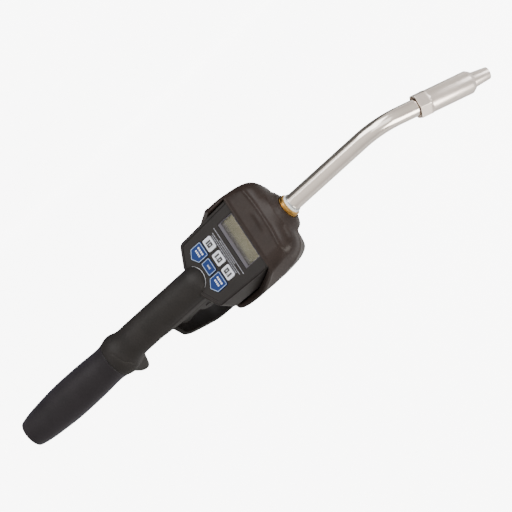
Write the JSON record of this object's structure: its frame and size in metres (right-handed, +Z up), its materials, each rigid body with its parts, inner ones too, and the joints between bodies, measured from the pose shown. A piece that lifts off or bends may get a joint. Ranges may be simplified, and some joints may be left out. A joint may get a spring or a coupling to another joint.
{
  "type": "metered oil dispensing handle",
  "caption": "Hand-held metered oil dispenser: hose swivel, trigger valve in a grip, gear meter with keypad and display, bent extension tube and non-drip nozzle.",
  "frame": {"origin": "centre of the hose inlet's mouth, on the inlet axis", "axes": "+X along the grip from the hose inlet to the nozzle, +Z up out of the display face, +Y to the left of a user who looks along +X"},
  "size_m": [0.5239, 0.087, 0.1119],
  "materials": {
    "boot_rubber": "matt black rubber",
    "bumper_rubber": "satin brown-black rubber",
    "grip_plastic": "fine-grained black moulding",
    "guard_plastic": "black nylon",
    "black_paint": "black powder coat on aluminium",
    "case_plastic": "satin black moulding",
    "zinc_steel": "zinc plated steel",
    "bright_tube": "bright nickel plate",
    "nozzle_nickel": "satin nickel plate",
    "stainless": "plain",
    "brass": "turned brass",
    "seal_rubber": "nitrile",
    "white_nylon": "white nylon",
    "seat_plastic": "acetal",
    "machined_aluminium": "machined",
    "gear_plastic": "filled polymer",
    "magnet": "nickel plate",
    "window_clear": "clear polycarbonate",
    "lcd_glass": "grey-green display glass",
    "board": "green laminate",
    "battery": "printed sleeve",
    "key_white": "light grey keys",
    "key_blue": "blue keys"
  },
  "bodies": {
    "housing": {"battery_cells": "battery", "bezel": "case_plastic", "bezel_gasket": "seal_rubber", "bezel_screws": "stainless", "chamber_cover": "machined_aluminium", "chamber_screws": "stainless", "chamber_seal": "seal_rubber", "circuit_board": "board", "extension_tube": "bright_tube", "gear_chamber": "machined_aluminium", "gear_pins": "stainless", "grip_shell": "grip_plastic", "guard_screws": "stainless", "inlet_strainer": "stainless", "keypad_mat": "seal_rubber", "lcd_module": "lcd_glass", "lcd_window": "window_clear", "meter_case": "case_plastic", "neck_nut": "zinc_steel", "nose_bumper": "bumper_rubber", "nozzle_adapter": "zinc_steel", "nozzle_body": "nozzle_nickel", "nozzle_tip": "nozzle_nickel", "outlet_fitting": "brass", "outlet_seal": "seal_rubber", "seal_washer": "white_nylon", "stem_gland": "zinc_steel", "stem_seal": "seal_rubber", "swivel_boot": "boot_rubber", "swivel_union": "zinc_steel", "trigger_guard": "guard_plastic", "trigger_pin": "stainless", "tube_ferrule": "zinc_steel", "valve_body": "black_paint", "valve_cap": "zinc_steel", "valve_seat": "seat_plastic", "valve_spring": "stainless"},
    "hose_end": {"hose_swivel": "zinc_steel", "swivel_clip": "stainless", "swivel_seals": "seal_rubber"},
    "trigger_lever": {"trigger": "guard_plastic"},
    "valve_plunger": {"valve_stem": "stainless"},
    "gear_a": {"meter_gear_a": "gear_plastic", "gear_magnets_a": "magnet"},
    "gear_b": {"meter_gear_b": "gear_plastic", "gear_magnets_b": "magnet"},
    "nozzle_valve": {"nozzle_poppet": "stainless", "nozzle_spring": "stainless"},
    "key_tens_cap": {"key_tens": "key_white"},
    "key_units_cap": {"key_units": "key_white"},
    "key_tenths_cap": {"key_tenths": "key_white"},
    "key_mode_cap": {"key_mode": "key_blue"},
    "key_total_cap": {"key_total": "key_blue"},
    "key_reset_cap": {"key_reset": "key_blue"}
  },
  "joints": [
    {"name": "hose_swivel_turn", "type": "hinge", "parent": "housing", "child": "hose_end", "pos_m": [0.045, 0, 0], "axis": [1, 0, 0], "continuous": true},
    {"name": "trigger_pull", "type": "hinge", "parent": "housing", "child": "trigger_lever", "pos_m": [0.195, 0, -0.019], "axis": [0, 1, 0], "range_deg": [0, 13], "stiffness_Nm_per_rad": 0.6, "springref_deg": -34.38},
    {"name": "valve_lift", "type": "slide", "parent": "housing", "child": "valve_plunger", "axis": [0, 0, 1], "range_m": [0, 0.0033], "deforming": ["valve_spring"]},
    {"name": "gear_a_spin", "type": "hinge", "parent": "housing", "child": "gear_a", "pos_m": [0.264, 0.01205, -0.0205], "axis": [0, 0, 1], "continuous": true},
    {"name": "gear_b_spin", "type": "hinge", "parent": "housing", "child": "gear_b", "pos_m": [0.264, -0.01205, -0.0205], "axis": [0, 0, 1], "continuous": true},
    {"name": "nozzle_valve_open", "type": "slide", "parent": "housing", "child": "nozzle_valve", "axis": [0.7071, 0, -0.7071], "range_m": [0, 0.003], "stiffness_N_per_m": 400, "springref_m": -0.004},
    {"name": "key_tens_press", "type": "slide", "parent": "housing", "child": "key_tens_cap", "axis": [0, 0, -1], "range_m": [0, 0.0007], "stiffness_N_per_m": 600, "springref_m": -0.0005},
    {"name": "key_units_press", "type": "slide", "parent": "housing", "child": "key_units_cap", "axis": [0, 0, -1], "range_m": [0, 0.0007], "stiffness_N_per_m": 600, "springref_m": -0.0005},
    {"name": "key_tenths_press", "type": "slide", "parent": "housing", "child": "key_tenths_cap", "axis": [0, 0, -1], "range_m": [0, 0.0007], "stiffness_N_per_m": 600, "springref_m": -0.0005},
    {"name": "key_mode_press", "type": "slide", "parent": "housing", "child": "key_mode_cap", "axis": [0, 0, -1], "range_m": [0, 0.0007], "stiffness_N_per_m": 600, "springref_m": -0.0005},
    {"name": "key_total_press", "type": "slide", "parent": "housing", "child": "key_total_cap", "axis": [0, 0, -1], "range_m": [0, 0.0007], "stiffness_N_per_m": 600, "springref_m": -0.0005},
    {"name": "key_reset_press", "type": "slide", "parent": "housing", "child": "key_reset_cap", "axis": [0, 0, -1], "range_m": [0, 0.0007], "stiffness_N_per_m": 600, "springref_m": -0.0005}
  ],
  "couplings": [
    {"joint": "valve_lift", "follows": "trigger_pull", "m_per_rad": 0.014},
    {"joint": "gear_b_spin", "follows": "gear_a_spin", "ratio": -1}
  ]
}
